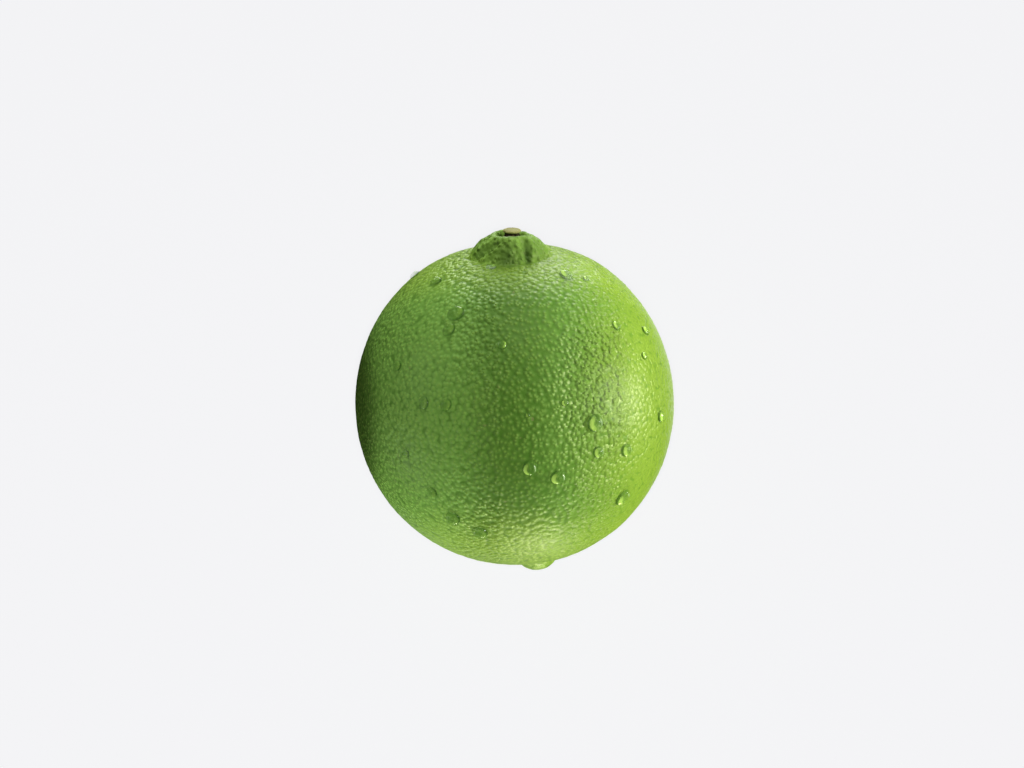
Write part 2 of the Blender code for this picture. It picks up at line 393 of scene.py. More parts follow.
def spreadGlands():
    # oil glands spread evenly over a globe and jostled: the way to each one's middle, and its depth
    draw = np.random.default_rng(glands["seed"])
    order = np.arange(glands["count"]) + 0.5
    height = 1 - 2 * order / glands["count"]
    across = np.sqrt(1 - height * height)
    bearing = order * math.pi * (3 - math.sqrt(5))
    middles = np.column_stack((across * np.cos(bearing), across * np.sin(bearing), height))
    middles += draw.normal(0, glands["jitter"], middles.shape)
    middles /= np.linalg.norm(middles, axis=1)[:, None]
    return middles, draw.uniform(*glands["unevenness"], len(middles))


def nearestGlands(tree, ways):
    found = [tree.find(way) for way in ways]
    nearest = np.array([index for place, index, distance in found])
    return nearest, np.array([distance for place, index, distance in found]) * form["equatorRadius"]


def roughness(points):
    # how much of its relief the rind has at each point
    across, far = points[:, 0], points[:, 1]
    rough = pebbling["left"] + (1 - pebbling["left"]) * ease(across, *pebbling["leftEnd"])
    rough -= (1 - pebbling["middle"]) * ease(across, *pebbling["middleStart"])
    band = pebbling["band"] * (1 - pebbling["tipLoss"] * ease(abs(far), *pebbling["bandTips"]))
    rough += (band - pebbling["middle"]) * ease(across, *pebbling["bandStart"])
    rough -= (band - pebbling["right"]) * ease(across, *pebbling["bandEnd"])
    shoulder = ease(far, *pebbling["shoulderStart"])
    shoulder *= 1 - ease(abs(across), *pebbling["shoulderSides"])
    return np.maximum(rough, pebbling["shoulder"] * shoulder)


def addRelief(skin):
    tree = bpy.data.node_groups.new("rindRelief", "GeometryNodeTree")
    tree.interface.new_socket("Skin", in_out="INPUT", socket_type="NodeSocketGeometry")
    tree.interface.new_socket("Skin", in_out="OUTPUT", socket_type="NodeSocketGeometry")
    bench = Bench(tree)
    whole = bench.add("NodeGroupInput", {}, {})
    place = bench.add("GeometryNodeInputPosition", {}, {})
    normal = bench.add("GeometryNodeInputNormal", {}, {})
    gland, collar, smooth, pebbled = (
        bench.add("GeometryNodeInputNamedAttribute", {"data_type": "FLOAT"}, {"Name": name})
        for name in ("gland", "collar", "smooth", "pebbled")
    )

    pebbles = gland * glands["height"]
    wrinkles = (bench.noise(place, glands["wrinkleScale"], 1) - 0.5) * glands["wrinkleDepth"]
    swells = (bench.noise(place, glands["swellScale"], 2) - 0.5) * glands["swellDepth"]
    knobs = (bench.noise(place, glands["knobScale"], 1) - 0.5) * glands["knobDepth"]
    onCollar = knobs + glands["onCollar"] * pebbles
    height = (pebbles + wrinkles * pebbled + swells) * (1 - collar) + onCollar * collar
    height = height * (1 - smooth)
    push = bench.add("ShaderNodeVectorMath", {"operation": "SCALE"}, {0: normal, "Scale": height})
    moved = bench.add("GeometryNodeSetPosition", {}, {"Geometry": whole, "Offset": push})
    bench.add("NodeGroupOutput", {}, {0: moved})
    applyModifier(skin, "relief", "NODES", node_group=tree)
    bpy.data.node_groups.remove(tree)


def setAttribute(mesh, name, values, domain="POINT"):
    if values.ndim == 1:
        attribute = mesh.attributes.new(name, "FLOAT", domain)
        attribute.data.foreach_set("value", values.astype(np.float32))
    else:
        attribute = mesh.attributes.new(name, "FLOAT_VECTOR", domain)
        attribute.data.foreach_set("vector", values.astype(np.float32).ravel())


def setGlands(mesh, ways, points):
    # each face knows the middle of its own gland, so the pit drawn on it is round and crisp
    middles, strengths = spreadGlands()
    tree = KDTree(len(middles))
    for index, middle in enumerate(middles):
        tree.insert(middle, index)
    tree.balance()
    nearest, distances = nearestGlands(tree, ways)
    setAttribute(mesh, "gland", strengths[nearest] * np.exp(-((distances / glands["reach"]) ** 2)))
    corners = np.empty(len(mesh.loops), dtype=np.int32)
    mesh.loops.foreach_get("vertex_index", corners)
    nearest, distances = nearestGlands(tree, ways[corners].reshape(-1, 4, 3).mean(axis=1))
    places = (middles * fruitRadius(middles)[:, None]) @ np.array(turn).T + np.array(centre)
    setAttribute(mesh, "glandPlace", places[nearest], "FACE")
    setAttribute(mesh, "glandStrength", strengths[nearest], "FACE")
    setAttribute(mesh, "smoothPlace", points)


def makeRind():
    skin = startPiece(bpy.ops.mesh.primitive_cube_add, size=2)
    skin.name = "rind"
    bpy.ops.object.mode_set(mode="EDIT")
    bpy.ops.mesh.subdivide(number_cuts=rindMesh["cuts"])
    bpy.ops.object.mode_set(mode="OBJECT")
    levels = rindMesh["levels"]
    applyModifier(skin, "finer", "SUBSURF", subdivision_type="SIMPLE", levels=levels, render_levels=levels)

    # the cube is blown up into a globe with even spacing, and its points are crowded where they show
    ways = np.tan(getPoints(skin.data) * math.pi / 4)
    ways /= np.linalg.norm(ways, axis=1)[:, None]
    ways = crowd(ways, -down, rindMesh["upCrowding"], rindMesh["upCrowdingReach"])
    ways = crowd(ways, np.array((0, 0, 1)), rindMesh["crowding"], rindMesh["crowdingReach"])

    radii = fruitRadius(ways)
    points = (ways * radii[:, None]) @ np.array(turn).T + np.array(centre)
    reach = radii * np.hypot(ways[:, 0], ways[:, 1])
    basinReach = np.hypot(radii * ways[:, 0] - form["basinShift"], radii * ways[:, 1])
    onTop = ways[:, 2] > 0
    collar = np.where(onTop, 1 - ease(reach, *rindMesh["collarFade"]), 0)
    basin = np.where(onTop, 1 - ease(basinReach, *rindMesh["basinFade"]), 0)
    flat = 1 - ease(points[:, 2], *rindMesh["flatFade"])
    setGlands(skin.data, ways, points)
    setAttribute(skin.data, "collar", collar)
    setAttribute(skin.data, "collarShade", np.where(onTop, paintedCollarShade(radii[:, None] * ways), 0))
    setAttribute(skin.data, "basin", basin)
    setAttribute(skin.data, "pebbled", roughness(points))
    setAttribute(skin.data, "smooth", np.maximum(basin, flat))
    points[:, 2] = np.maximum(points[:, 2], 0)
    setPoints(skin.data, points)
    addRelief(skin)
    bpy.ops.object.shade_smooth()
    return skin


# rind colours and gloss; a span is where something begins and where it is full: a distance in
# metres, or a value of the noise that it is drawn from
rindLook = {
    "deep": (0.094, 0.210, 0.028, 1),
    # a lighter green that is painted light and sheen
    "fresh": (0.192, 0.398, 0.066, 1),
    # dark: painted shade for the rind's left edge
    "dark": (0.047, 0.102, 0.014, 1),
    "yellow": (0.285, 0.455, 0.046, 1),
    "gland": (0.330, 0.520, 0.085, 1),
    "hollowShade": (0.030, 0.070, 0.010, 1),
    "collar": (0.165, 0.345, 0.052, 1),
    "scar": (0.26, 0.25, 0.10, 1),
    "valleyShade": (0.070, 0.180, 0.018, 1),
    "poreShade": (0.120, 0.280, 0.022, 1),
    "leftShadeShare": 0.9,
    "valleyShadeShare": 0.65,
    "glandShare": 0.30,
    "collarShare": 0.55,
    "basinShadeShare": 0.85,
    "collarShadeShare": 0.40,
    "scarShare": 0.5,
    "mottleScale": 110,
    "speckScale": 900,
    "patchScale": 38,
    "patchShift": 0.006,  # how far the patches push a colour's edge about
    "litSideSpan": (0.006, 0.023),  # yellower to the right: painted light where the right lamp falls
    "farSpan": (0.013, 0.022),  # painted light towards the stem end
    "nearSpan": (0.018, 0.027),  # and towards the blossom end
    "endLight": 0.7,
    "mottleRipeness": 0.25,
    "leftLightSpan": (0.002, 0.017),  # painted light to the left
    "sideLightSpan": (0.001, 0.009),  # and a little to both sides, leaving painted shade down the middle
    "sideLightShare": 0.4,
    "leftShadeSpan": (0.0225, 0.0268),  # painted shade at the left edge
    "sunkSpan": (0.007, 0.014),  # glands are raised and pale left of it, and sunk pores with painted shade right of it
    "valleySpecks": (0.45, 0.60),
    "speckless": 0.3,  # how much painted shade a valley keeps without specks
    "scarSpecks": (0.735, 0.78),
    "scarScale": 90,
    "scarSpan": (0.5, 0.62),
    "pitReach": (0.00002, 0.00034),
    "pitDepth": 0.00003,
    "pebbleReach": 0.00068,
    "pebbleHeight": 0.00022,
    "valleyReach": (0.00036, 0.00056),
    "wrinkleScale": 1100,
    "wrinkleDepth": 0.00024,
    "grainScale": 3600,
    "grainDepth": 0.000012,
    "grainStrength": 0.6,
    "roughness": 0.36,
    "mottleRoughness": 0.14,
    "pitRoughness": 0.12,
    "collarRoughness": 0.22,
    "ior": 1.45,
    "gloss": 0.50,
    "glossTint": (1, 1, 0.6, 1),
    "wax": 0.25,
    "waxRoughness": 0.40,
}


def attribute(bench, name, outlet="Fac"):
    return bench.add("ShaderNodeAttribute", {"attribute_name": name}, {}, outlet)


def makeRindMaterial():
    material, bench, shader = newMaterial("rind")
    look = rindLook
    place = objectPlace(bench)
    between = {0: attribute(bench, "smoothPlace", "Vector"), 1: attribute(bench, "glandPlace", "Vector")}
    away = bench.add("ShaderNodeVectorMath", {"operation": "DISTANCE"}, between, "Value")
    strength = attribute(bench, "glandStrength")
    pit = (1 - bench.ease(away, *look["pitReach"])) * strength
    pebble = (1 - bench.ease(away, 0, look["pebbleReach"])) * strength
    collar = attribute(bench, "collar")
    basin = attribute(bench, "basin")

    mottle = bench.noise(place, look["mottleScale"], 3, 0.55)
    specks = bench.noise(place, look["speckScale"], 1)
    patches = bench.noise(place, look["patchScale"], 2)
    axes = bench.add("ShaderNodeSeparateXYZ", {}, {0: place})
    across, far = axes.outlet("X"), axes.outlet("Y")
    shift = look["patchShift"] * (patches - 0.5)
    # yellower where the lamps fall: painted light to the right and towards both ends, with the rind's own
    # tone mottled at random
    litEnds = bench.ease(far, *look["farSpan"]) + bench.ease(-1 * far, *look["nearSpan"])
    litAndRipe = bench.ease(across + shift, *look["litSideSpan"]) + look["endLight"] * litEnds
    litAndRipe = litAndRipe + look["mottleRipeness"] * (mottle - 0.5)
    # painted light and sheen on the left and both sides; the middle keeps the deep green as painted shade
    pale = bench.ease(shift - across, *look["leftLightSpan"])
    pale = pale + look["sideLightShare"] * bench.ease(abs(across), *look["sideLightSpan"])
    leftEdgeShade = bench.ease(shift - across, *look["leftShadeSpan"])
    sunk = bench.ease(across, *look["sunkSpan"])
    speckled = look["speckless"] + (1 - look["speckless"]) * bench.ease(specks, *look["valleySpecks"])
    # painted shade in the valleys between the pebbles
    shadedValleys = bench.ease(away, *look["valleyReach"]) * speckled
    # painted shade in the stem's basin and on the collar
    hollowShade = look["basinShadeShare"] * basin + look["collarShadeShare"] * attribute(bench, "collarShade")
    scars = bench.ease(specks, *look["scarSpecks"])
    scars = scars * bench.ease(bench.noise(place, look["scarScale"], 1), *look["scarSpan"])

    colour = bench.mix(pale, look["deep"], look["fresh"])
    colour = bench.mix(litAndRipe, colour, look["yellow"])
    # painted shade along the left edge, where the lamps leave it dark
    colour = bench.mix(look["leftShadeShare"] * leftEdgeShade, colour, look["dark"])
    valleyShade = bench.mix(sunk, look["valleyShade"], look["poreShade"])
    colour = bench.mix(look["valleyShadeShare"] * shadedValleys * (1 - collar), colour, valleyShade)
    # the glands are paler on the left; right of the sunk span their pores take painted shade
    gland = bench.mix(sunk, look["gland"], look["poreShade"])
    colour = bench.mix(look["glandShare"] * pit, colour, gland)
    colour = bench.mix(look["collarShare"] * collar, colour, look["collar"])
    colour = bench.mix(hollowShade, colour, look["hollowShade"])
    colour = bench.mix(look["scarShare"] * scars, colour, look["scar"])

    pebbled = attribute(bench, "pebbled")
    wrinkles = (bench.noise(place, look["wrinkleScale"], 1) - 0.5) * pebbled
    grain = bench.noise(place, look["grainScale"], 2)
    domed = bench.bump(pebble * pebbled, look["pebbleHeight"])
    dotted = bench.bump(pit * (1 - 2 * sunk), look["pitDepth"], 1, domed)
    wrinkled = bench.bump(wrinkles, look["wrinkleDepth"], 1, dotted)
    normal = bench.bump(grain, look["grainDepth"], look["grainStrength"], wrinkled)
    rough = look["roughness"] + look["mottleRoughness"] * (mottle - 0.5)
    rough = rough + look["pitRoughness"] * pit + look["collarRoughness"] * collar
    bench.feed(shader, {"Base Color": colour, "Roughness": rough, "Normal": normal})
    shader.inputs["IOR"].default_value = look["ior"]
    shader.inputs["Specular IOR Level"].default_value = look["gloss"]
    shader.inputs["Specular Tint"].default_value = look["glossTint"]
    shader.inputs["Coat Weight"].default_value = look["wax"]
    shader.inputs["Coat Roughness"].default_value = look["waxRoughness"]
    return material


# dried calyx and the cut end of the stem, turned on the fruit's own axis; a profile gives shares of
# the radius, and heights
calyx = {
    "radius": 0.00162,
    "neckRadius": 0.00130,
    "sepalProfile": ((0, 0), (0.50, 0), (0.80, 0.00002), (0.97, 0.00016), (1, 0.00028), (0.92, 0.00040)),
    "neckProfile": ((1.12, 0.00046), (1, 0.00062)),
    "neckMiddle": 0.98,
    "topProfile": ((0.97, -0.00006), (0.90, 0), (0.45, 0), (0, 0)),  # heights from the neck's top
    "sepals": 5,
    "sepalReach": 0.12,
    "sepalCurl": 0.00012,
    "wrinkles": ((23, 0.022, 0), (14, 0.018, 1.3)),  # waves round the stem, share and phase
    "wrinkleSpan": (0.4, 0.8),
    "gap": 0.00015,
    "steps": 60,
    "smoothAngle": 60,
    "brown": (0.085, 0.060, 0.028, 1),
    "tan": (0.240, 0.180, 0.085, 1),
    "dark": (0.020, 0.014, 0.008, 1),
    "fibreScale": 2600,
    "fibreSpan": (0.35, 0.7),
    "fibreDepth": 0.00006,
    "blotchScale": 900,
    "blotchSpan": (0.5, 0.75),
    "blotchShare": 0.6,
    "roughness": 0.78,
    "unevenness": 0.2,
}
stub = {
    "radius": 0.00150,
    "thickness": 0.00046,
    "sideProfile": ((0, 0), (0.40, 0), (0.80, 0), (0.95, 0.00010), (1, 0.00024), (0.96, 0.00038)),
    # heights over its thickness
    "faceProfile": (
        (0.84, 0),
        (0.74, 0.00002),
        (0.60, 0.00003),
        (0.45, 0.00004),
        (0.30, 0.00005),
        (0.15, 0.00005),
        (0, 0.00005),
    ),
    "top": 0.0319,  # from the fruit's centre
    "chips": ((9, 0.020, 0.7), (17, 0.015, 0)),
    "chipSpan": (0.5, 1),
    "rays": 26,
    "rayHeight": 0.000012,
    "raySpan": (0.3, 0.6),
    "rayFloor": 0.7,  # share of the thickness above which there are rays
    "oval": (1.04, 0.97),
    "slope": 0.04,
    "steps": 60,
    "straw": (0.240, 0.235, 0.058, 1),
    "pale": (0.330, 0.335, 0.110, 1),
    "rim": (0.165, 0.145, 0.050, 1),
    "fibreScale": 4200,
    "fibreSpan": (0.35, 0.68),
    "fibreDepth": 0.00005,
    "patchScale": 1300,
    "patchSpan": (0.52, 0.72),
    "patchShare": 0.55,
    "roughness": 0.66,
    "unevenness": 0.2,
}


def turnProfile(name, profile, steps):
    # a profile drawn point by point in the XZ plane and spun round Z
    piece = startPiece(bpy.ops.mesh.primitive_plane_add, size=0.001)
    piece.name = name
    bpy.ops.object.mode_set(mode="EDIT")
    bpy.ops.mesh.merge(type="CENTER")
    bpy.ops.transform.translate(value=(profile[0][0], 0, profile[0][1]))
    for (fromRadius, fromHeight), (radius, height) in zip(profile, profile[1:]):
        step = (radius - fromRadius, 0, height - fromHeight)
        bpy.ops.mesh.extrude_region_move(TRANSFORM_OT_translate={"value": step})
    bpy.ops.mesh.select_all(action="SELECT")
    bpy.ops.mesh.spin(steps=steps, angle=math.tau, center=(0, 0, 0), axis=(0, 0, 1))
    bpy.ops.mesh.select_all(action="SELECT")
    bpy.ops.mesh.remove_doubles(threshold=1e-6)
    bpy.ops.mesh.normals_make_consistent(inside=False)
    bpy.ops.object.mode_set(mode="OBJECT")
    return piece


def scaleProfile(shares, radius, base=0):
    return [(share * radius, base + height) for share, height in shares]


def ripple(bearing, waves):
    return sum(share * np.cos(count * bearing + phase) for count, share, phase in waves)


def makeCalyx():
    base = float(fruitRadius(np.array(((0.0, 0.0, 1.0),)))[0]) + calyx["gap"]
    top = stub["top"] - stub["thickness"] - calyx["gap"] - base
    rim, neck = calyx["radius"], calyx["neckRadius"]
    profile = scaleProfile(calyx["sepalProfile"], rim) + scaleProfile(calyx["neckProfile"], neck)
    profile.append((calyx["neckMiddle"] * neck, (profile[-1][1] + top) / 2))
    profile += scaleProfile(calyx["topProfile"], neck, top)
    piece = turnProfile("dried_calyx", profile, calyx["steps"])
    applyModifier(piece, "finer", "SUBSURF", levels=1, render_levels=1)
    points = getPoints(piece.data)
    reach = np.hypot(points[:, 0], points[:, 1])
    bearing = np.arctan2(points[:, 1], points[:, 0])
    lobe = np.cos(calyx["sepals"] * bearing) * ease(reach, neck, rim)
    start, end = calyx["wrinkleSpan"]
    wrinkle = ripple(bearing, calyx["wrinkles"]) * ease(reach, start * rim, end * rim)
    stretch = 1 + calyx["sepalReach"] * lobe + wrinkle
    points[:, 0] *= stretch
    points[:, 1] *= stretch
    points[:, 2] += calyx["sepalCurl"] * lobe + base
    points[:, 0] += form["basinShift"]
    setPoints(piece.data, points)
    return piece


def makeStub():
    rim, thick = stub["radius"], stub["thickness"]
    profile = scaleProfile(stub["sideProfile"], rim) + scaleProfile(stub["faceProfile"], rim, thick)
    piece = turnProfile("cut_stem", profile, stub["steps"])
    applyModifier(piece, "finer", "SUBSURF", levels=1, render_levels=1)
    points = getPoints(piece.data)
    bearing = np.arctan2(points[:, 1], points[:, 0])
    reach = np.hypot(points[:, 0], points[:, 1])
    start, end = stub["chipSpan"]
    chips = 1 + ripple(bearing, stub["chips"]) * ease(reach, start * rim, end * rim)
    start, end = stub["raySpan"]
    rays = stub["rayHeight"] * np.cos(stub["rays"] * bearing) * ease(reach, start * rim, end * rim)
    rays *= points[:, 2] > stub["rayFloor"] * thick
    points[:, 0] *= stub["oval"][0] * chips
    points[:, 1] *= stub["oval"][1] * chips
    points[:, 2] += rays - stub["slope"] * points[:, 0] + stub["top"] - thick
    points[:, 0] += form["basinShift"]
    setPoints(piece.data, points)
    return piece


def makeCalyxMaterial():
    material, bench, shader = newMaterial("driedCalyx")
    place = objectPlace(bench)
    fibres = bench.noise(place, calyx["fibreScale"], 3, 0.6)
    blotches = bench.noise(place, calyx["blotchScale"], 2)
    colour = bench.mix(bench.ease(fibres, *calyx["fibreSpan"]), calyx["dark"], calyx["brown"])
    blotched = calyx["blotchShare"] * bench.ease(blotches, *calyx["blotchSpan"])
    colour = bench.mix(blotched, colour, calyx["tan"])
    rough = calyx["roughness"] + calyx["unevenness"] * (fibres - 0.5)
    normal = bench.bump(fibres, calyx["fibreDepth"])
    bench.feed(shader, {"Base Color": colour, "Roughness": rough, "Normal": normal})
    return material


def makeStubMaterial():
    material, bench, shader = newMaterial("cutStem")
    place = objectPlace(bench)
    fibres = bench.noise(place, stub["fibreScale"], 3, 0.6)
    patches = bench.noise(place, stub["patchScale"], 2)
    colour = bench.mix(bench.ease(fibres, *stub["fibreSpan"]), stub["straw"], stub["pale"])
    patched = stub["patchShare"] * bench.ease(patches, *stub["patchSpan"])
    colour = bench.mix(patched, colour, stub["rim"])
    rough = stub["roughness"] + stub["unevenness"] * (patches - 0.5)
    normal = bench.bump(fibres, stub["fibreDepth"])
    bench.feed(shader, {"Base Color": colour, "Roughness": rough, "Normal": normal})
    return material


# water drops: the pixel in the photo's frame that each is centred on, and its width
drops = {
    "seen": {
        "outlineLeft": (415.3, 275.8, 0.0019),
        "shoulderLeft": (436, 282, 0.0022),
        "upperLeft": (456, 314, 0.0030),
        "upperLeftLow": (449, 330, 0.0023),
        "upperMiddle": (502, 345, 0.0017),
        "limbLeft": (398, 366, 0.0017),
        "leftPairA": (424, 403, 0.0021),
        "leftPairB": (446, 405, 0.0021),
        "rightBig": (595, 423, 0.0030),
        "rightUpper": (616, 326, 0.0018),
        "rightUpperEdge": (645, 331, 0.0018),
        "rightEdge": (644, 356, 0.0015),
        "rightLimb": (660, 416, 0.0019),
        "centreRight": (565, 403, 0.0013),
        "centreTiny": (528, 415, 0.0008),
        "lowBigA": (530, 468, 0.0026),
        "lowBigB": (558, 477, 0.0027),
        "rightLow": (626, 450, 0.0024),
        "rightLowRing": (598, 452, 0.0021),
        "lowRight": (622, 497, 0.0029),
        "lowLeft": (453, 518, 0.0029),
        "lowLeftWide": (480, 532, 0.0029),
        "leftLow": (432, 492, 0.0020),
        "leftLowSmall": (406, 453, 0.0015),
        "besideCollar": (491, 267, 0.0017),
        "topRight": (566, 276, 0.0024),
        "topRightSmall": (586, 279, 0.0013),
    },
    "unseen": 16,
    "unseenWidth": (0.0012, 0.0026),
    "unseenSeed": 5,
    "lowest": -0.75,  # none stands lower on the fruit, as the height of a way of unit length
    "outOfSight": -0.15,  # nor nearer to the camera
    "rayStart": 0.05,  # from the fruit's centre
    "segments": 28,
    "rings": 18,
    "cut": 0.02,  # above the globe's middle, for a width of 1
    "smoothAngle": 50,
    "height": 0.30,  # of the width
    "sink": 0.05,
    "long": (1.0, 1.12),
    "tall": (0.9, 1.1),
    "lightWay": (0.95, 0.20, 0),  # right, up and towards the camera, and the other way on the left
    "leftOf": -0.002,
    "dimSpan": (-0.008, 0.006),  # places across between which the drops get lighter
    "dimmest": 0.35,  # share of the light that the drops on the dark side catch
}
waterLook = {
    "shade": (0.024, 0.095, 0.011, 1),
    "inside": (0.210, 0.460, 0.070, 1),
    "caught": (0.620, 0.930, 0.170, 1),
    "glint": (0.700, 0.950, 0.500, 1),
    "awaySpan": (-0.25, 0.65),  # across a drop, from the light to the side away from it
    "rimSpan": (0.84, 0.97),  # shares of a drop's half width
    "rimToLight": 0.40,
    "rimAway": 0.35,
    "crescentStart": (0.10, 0.62),
    "crescentEnd": (0.80, 0.94),
    "glintPlace": 0.60,
    "glintSpan": (0.06, 0.20),
    "glintSide": (0.40, 0.56),
    "rippleScale": 700,
    "rippleHeight": 0.00002,
    "rippleStrength": 0.4,
    "roughness": 0.10,
    "unevenness": 0.05,
    "film": 0.08,  # how much each of these covers the rind
    "rimCover": 0.42,
    "crescentCover": 0.75,
    "glintCover": 0.35,
    "ior": 1.33,
    "coat": 1,
    "coatRoughness": 0.10,
}


def modelDrop():
    # one drop of unit width: a globe cut off just above its middle and pressed down
    segments, rings, cut = drops["segments"], drops["rings"], drops["cut"]
    globe = bpy.ops.mesh.primitive_uv_sphere_add
    drop = startPiece(globe, segments=segments, ring_count=rings, radius=0.5)
    bpy.ops.object.mode_set(mode="EDIT")
    bpy.ops.mesh.select_all(action="SELECT")
    bpy.ops.mesh.bisect(plane_co=(0, 0, cut), plane_no=(0, 0, 1), clear_inner=True, use_fill=True)
    bpy.ops.mesh.select_all(action="SELECT")
    bpy.ops.transform.translate(value=(0, 0, -cut))
    bpy.ops.transform.resize(value=(1, 1, 2 * (drops["height"] + drops["sink"])))
    bpy.ops.mesh.normals_make_consistent(inside=False)
    bpy.ops.object.mode_set(mode="OBJECT")
    bpy.ops.object.shade_smooth_by_angle(angle=math.radians(drops["smoothAngle"]))
    points = getPoints(drop.data)
    setAttribute(drop.data, "edge", 2 * np.hypot(points[:, 0], points[:, 1]))
    setAttribute(drop.data, "lee", -2 * points[:, 0])
    return drop


def placeDrop(model, spot, normal, width, draw):
    # its own +X side is turned to the light
    drop = model.copy()
    drop.data = model.data.copy()
    bpy.context.collection.objects.link(drop)
    right, up, back = cameraAxes()
    side = 1 if (spot - centre).dot(right) > drops["leftOf"] else -1
    light = right * side * drops["lightWay"][0] + up * drops["lightWay"][1] + back * drops["lightWay"][2]
    across = (light - light.dot(normal) * normal).normalized()
    facing = Matrix((across, normal.cross(across), normal)).transposed().to_4x4()
    swing = Matrix.Rotation(draw.uniform(0, math.tau), 4, "Z")
    long = draw.uniform(*drops["long"])
    size = Matrix.Diagonal((width * long, width / long, width * draw.uniform(*drops["tall"]), 1))
    stretch = swing @ size @ swing.inverted()
    low = Matrix.Translation((0, 0, -drops["sink"] * width))
    drop.data.transform(Matrix.Translation(spot) @ facing @ low @ stretch)
    dimmest = drops["dimmest"]
    lit = dimmest + (1 - dimmest) * float(ease((spot - centre).dot(right), *drops["dimSpan"]))
    setAttribute(drop.data, "lit", np.full(len(drop.data.vertices), lit))
    return drop


def makeDrops(skin):
    draw = random.Random(drops["unseenSeed"])
    model = modelDrop()
    made = []
    for name, (across, below, width) in drops["seen"].items():
        start, way = photoRay(across, below)
        hit, spot, face, index = skin.ray_cast(start, way)
        if not hit:
            print("no rind under the drop", name)
            continue
        made.append(placeDrop(model, spot, (spot - centre).normalized(), width, draw))
    placed = 0
    while placed < drops["unseen"]:
        way = Vector((draw.gauss(0, 1), draw.gauss(0, 1), draw.gauss(0, 1))).normalized()
        if way.z < drops["lowest"] or way.dot(cameraAxes()[2]) > drops["outOfSight"]:
            continue
        hit, spot, face, index = skin.ray_cast(centre + drops["rayStart"] * way, -way)
        width = draw.uniform(*drops["unseenWidth"])
        made.append(placeDrop(model, spot, way, width, draw))
        placed += 1
    bpy.data.objects.remove(model)
    bpy.ops.object.select_all(action="DESELECT")
    for drop in made:
        drop.select_set(True)
    bpy.context.view_layer.objects.active = made[0]
    bpy.ops.object.join()
    made[0].name = "water_drops"
    return made[0]


def makeWaterMaterial():
    # clear over the rind, dark at its edge on the side away from the light, with the light caught
    # inside there, and a glint on the side to the light
    material, bench, shader = newMaterial("water")
    look = waterLook
    edge = attribute(bench, "edge")
    lee = attribute(bench, "lee")
    lit = attribute(bench, "lit")
    away = bench.ease(lee, *look["awaySpan"])
    rim = bench.ease(edge, *look["rimSpan"]) * (look["rimToLight"] + look["rimAway"] * away)
    crescent = bench.ease(edge, *look["crescentStart"]) * (1 - bench.ease(edge, *look["crescentEnd"]))
    crescent = crescent * away * lit
    ring = 1 - bench.ease(abs(edge - look["glintPlace"]), *look["glintSpan"])
    glint = ring * bench.ease(-1 * lee, *look["glintSide"]) * lit
    ripples = bench.noise(objectPlace(bench), look["rippleScale"], 1)
    colour = bench.mix(crescent, look["inside"], look["caught"])
    colour = bench.mix(glint, colour, look["glint"])
    colour = bench.mix(rim, colour, look["shade"])
    cover = look["film"] + look["rimCover"] * rim
    cover = cover + look["crescentCover"] * crescent + look["glintCover"] * glint
    rough = look["roughness"] + look["unevenness"] * ripples
    normal = bench.bump(ripples, look["rippleHeight"], look["rippleStrength"])
    bench.feed(shader, {"Base Color": colour, "Roughness": rough, "Alpha": cover, "Normal": normal})
    shader.inputs["IOR"].default_value = look["ior"]
    shader.inputs["Coat Weight"].default_value = look["coat"]
    shader.inputs["Coat Roughness"].default_value = look["coatRoughness"]
    return material


def dress(piece, material, node=None):
    piece.data.materials.clear()
    piece.data.materials.append(material)
    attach(piece, "root")
    if node:
        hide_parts(node)


rind = makeRind()
dress(rind, makeRindMaterial(), "fruit")
print("rind shaped:", len(rind.data.polygons), "faces")

driedCalyx = makeCalyx()
cutStem = makeStub()
for piece in (driedCalyx, cutStem):
    piece.data.transform(layDown)
    bpy.ops.object.select_all(action="DESELECT")
    piece.select_set(True)
    bpy.context.view_layer.objects.active = piece
    bpy.ops.object.shade_smooth_by_angle(angle=math.radians(calyx["smoothAngle"]))
dress(driedCalyx, makeCalyxMaterial(), "calyx")
dress(cutStem, makeStubMaterial(), "stem_stub")
print("calyx and stem set in the basin")

water = makeDrops(rind)
dress(water, makeWaterMaterial())
print("water drops laid on")

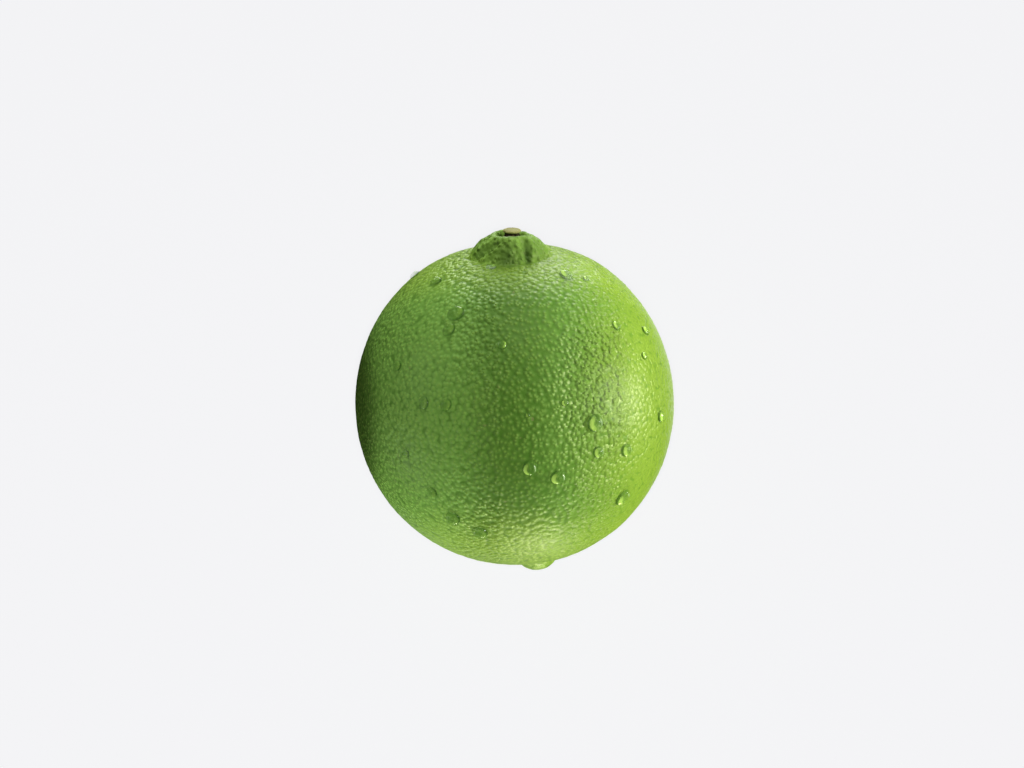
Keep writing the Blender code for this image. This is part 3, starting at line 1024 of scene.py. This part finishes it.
# floor, camera and lamps; a lamp's direction from the fruit is right, up and towards the camera
studio = {
    "floorSize": 4,
    "floorDrop": 0.00004,
    "floorRoughness": 0.9,
    "floorGlow": (0.800, 0.800, 0.816, 1),
    "floorColour": (0.095, 0.095, 0.097, 1),
    "ambient": 0.0,
    "backdrop": (0.895, 0.895, 0.912, 1),
    "overhead": {"direction": (0, 0, 1), "distance": 1.0, "size": (0.12, 0.12), "watts": 10},
    "softboxes": {
        "right": {
            "direction": (0.96, 0, 0.25),
            "distance": 0.34,
            "size": (0.13, 0.17),
            "watts": 1.27,
            "colour": (1, 1, 0.88),
        },
        "beyond": {
            "direction": (0.28, 0.85, -0.45),
            "distance": 0.34,
            "size": (0.16, 0.10),
            "watts": 0.24,
            "colour": (1, 1, 0.90),
        },
        "below": {
            "direction": (0.20, -0.89, -0.41),
            "distance": 0.34,
            "size": (0.12, 0.07),
            "watts": 0.32,
            "colour": (1, 1, 0.65),
        },
    },
    # the fruit's other lamps: direction and watts
    "fruitLamps": {
        "rightBehind": ((0.32, 0.08, -0.94), 0.085),
        "left": ((-0.90, 0.24, 0.37), 0.050),
        "leftNear": ((-0.87, -0.50, 0.03), 0.070),
        "farBelow": ((0, 0.82, -0.57), 0.30),
        "nearBehind": ((-0.20, -0.55, -0.81), 0.022),
    },
    # these light the fruit but don't shine back from it
    "mattLamps": {
        "frontWash": ((0, 0.66, 0.75), 0.50),
        "farWash": ((-0.05, 0.99, 0.08), 0.55),
        "nearWash": ((-0.10, -0.90, 0.43), 0.57),
        "leftFarWash": ((-0.50, 0.84, 0.20), 0.06),
        "leftNearWash": ((-0.25, -0.93, -0.28), 0.74),
        "rightWash": ((0.88, -0.02, 0.47), 0.12),
    },
    "lampDistance": 0.34,
    "lampSize": (0.16, 0.16),
}


def addLamp(name, direction, distance, size, watts, colour=(1, 1, 1)):
    right, up, back = cameraAxes()
    facing = (right * direction[0] + up * direction[1] + back * direction[2]).normalized()
    lamp = startPiece(bpy.ops.object.light_add, type="AREA", location=centre + facing * distance)
    lamp.name = name
    lamp.data.shape = "RECTANGLE"
    lamp.data.size, lamp.data.size_y = size
    lamp.data.energy = watts
    lamp.data.color = colour
    lamp.rotation_euler = facing.to_track_quat("Z", "Y").to_euler()
    lamp.visible_camera = False
    return lamp


def makeStudio(pieces):
    place = (0, 0, -studio["floorDrop"])
    floor = startPiece(bpy.ops.mesh.primitive_plane_add, size=studio["floorSize"], location=place)
    floor.name = "floor"
    material, bench, shader = newMaterial("floor")
    shader.inputs["Base Color"].default_value = studio["floorColour"]
    shader.inputs["Roughness"].default_value = studio["floorRoughness"]
    shader.inputs["Emission Color"].default_value = studio["floorGlow"]
    shader.inputs["Emission Strength"].default_value = 1
    floor.data.materials.append(material)
    floor.visible_diffuse = False
    floor.visible_glossy = False
    floor.visible_transmission = False
    floor.visible_shadow = False

    onFruit = bpy.data.collections.new("litWithFruit")
    for piece in pieces:
        onFruit.objects.link(piece)
    onFloor = bpy.data.collections.new("litWithFloor")
    onFloor.objects.link(floor)
    overhead = addLamp("overhead", **studio["overhead"])
    overhead.light_linking.receiver_collection = onFloor
    for name, settings in studio["softboxes"].items():
        addLamp(name, **settings).light_linking.receiver_collection = onFruit
    for name, (direction, watts) in (studio["fruitLamps"] | studio["mattLamps"]).items():
        lamp = addLamp(name, direction, studio["lampDistance"], studio["lampSize"], watts)
        lamp.light_linking.receiver_collection = onFruit
        lamp.visible_glossy = name not in studio["mattLamps"]

    world = bpy.data.worlds.new("studio")
    world.use_nodes = True
    bpy.context.scene.world = world
    bench = Bench(world.node_tree)
    background = world.node_tree.nodes["Background"]
    cameraRay = bench.add("ShaderNodeLightPath", {}, {}, "Is Camera Ray")
    dim = (studio["ambient"],) * 3 + (1,)
    bench.feed(background, {"Color": bench.mix(cameraRay, dim, studio["backdrop"]), "Strength": 1})
    bpy.context.scene.view_settings.view_transform = "Standard"


def makeCamera():
    right, up, back = cameraAxes()
    camera = startPiece(bpy.ops.object.camera_add, location=cameraPlace())
    camera.rotation_euler = back.to_track_quat("Z", "Y").to_euler()
    camera.data.lens = shot["lens"]
    camera.data.sensor_width = shot["sensor"]
    camera.data.clip_start = shot["clipStart"]
    bpy.context.scene.camera = camera


makeStudio((rind, driedCalyx, cutStem, water))
makeCamera()
print("studio set up")
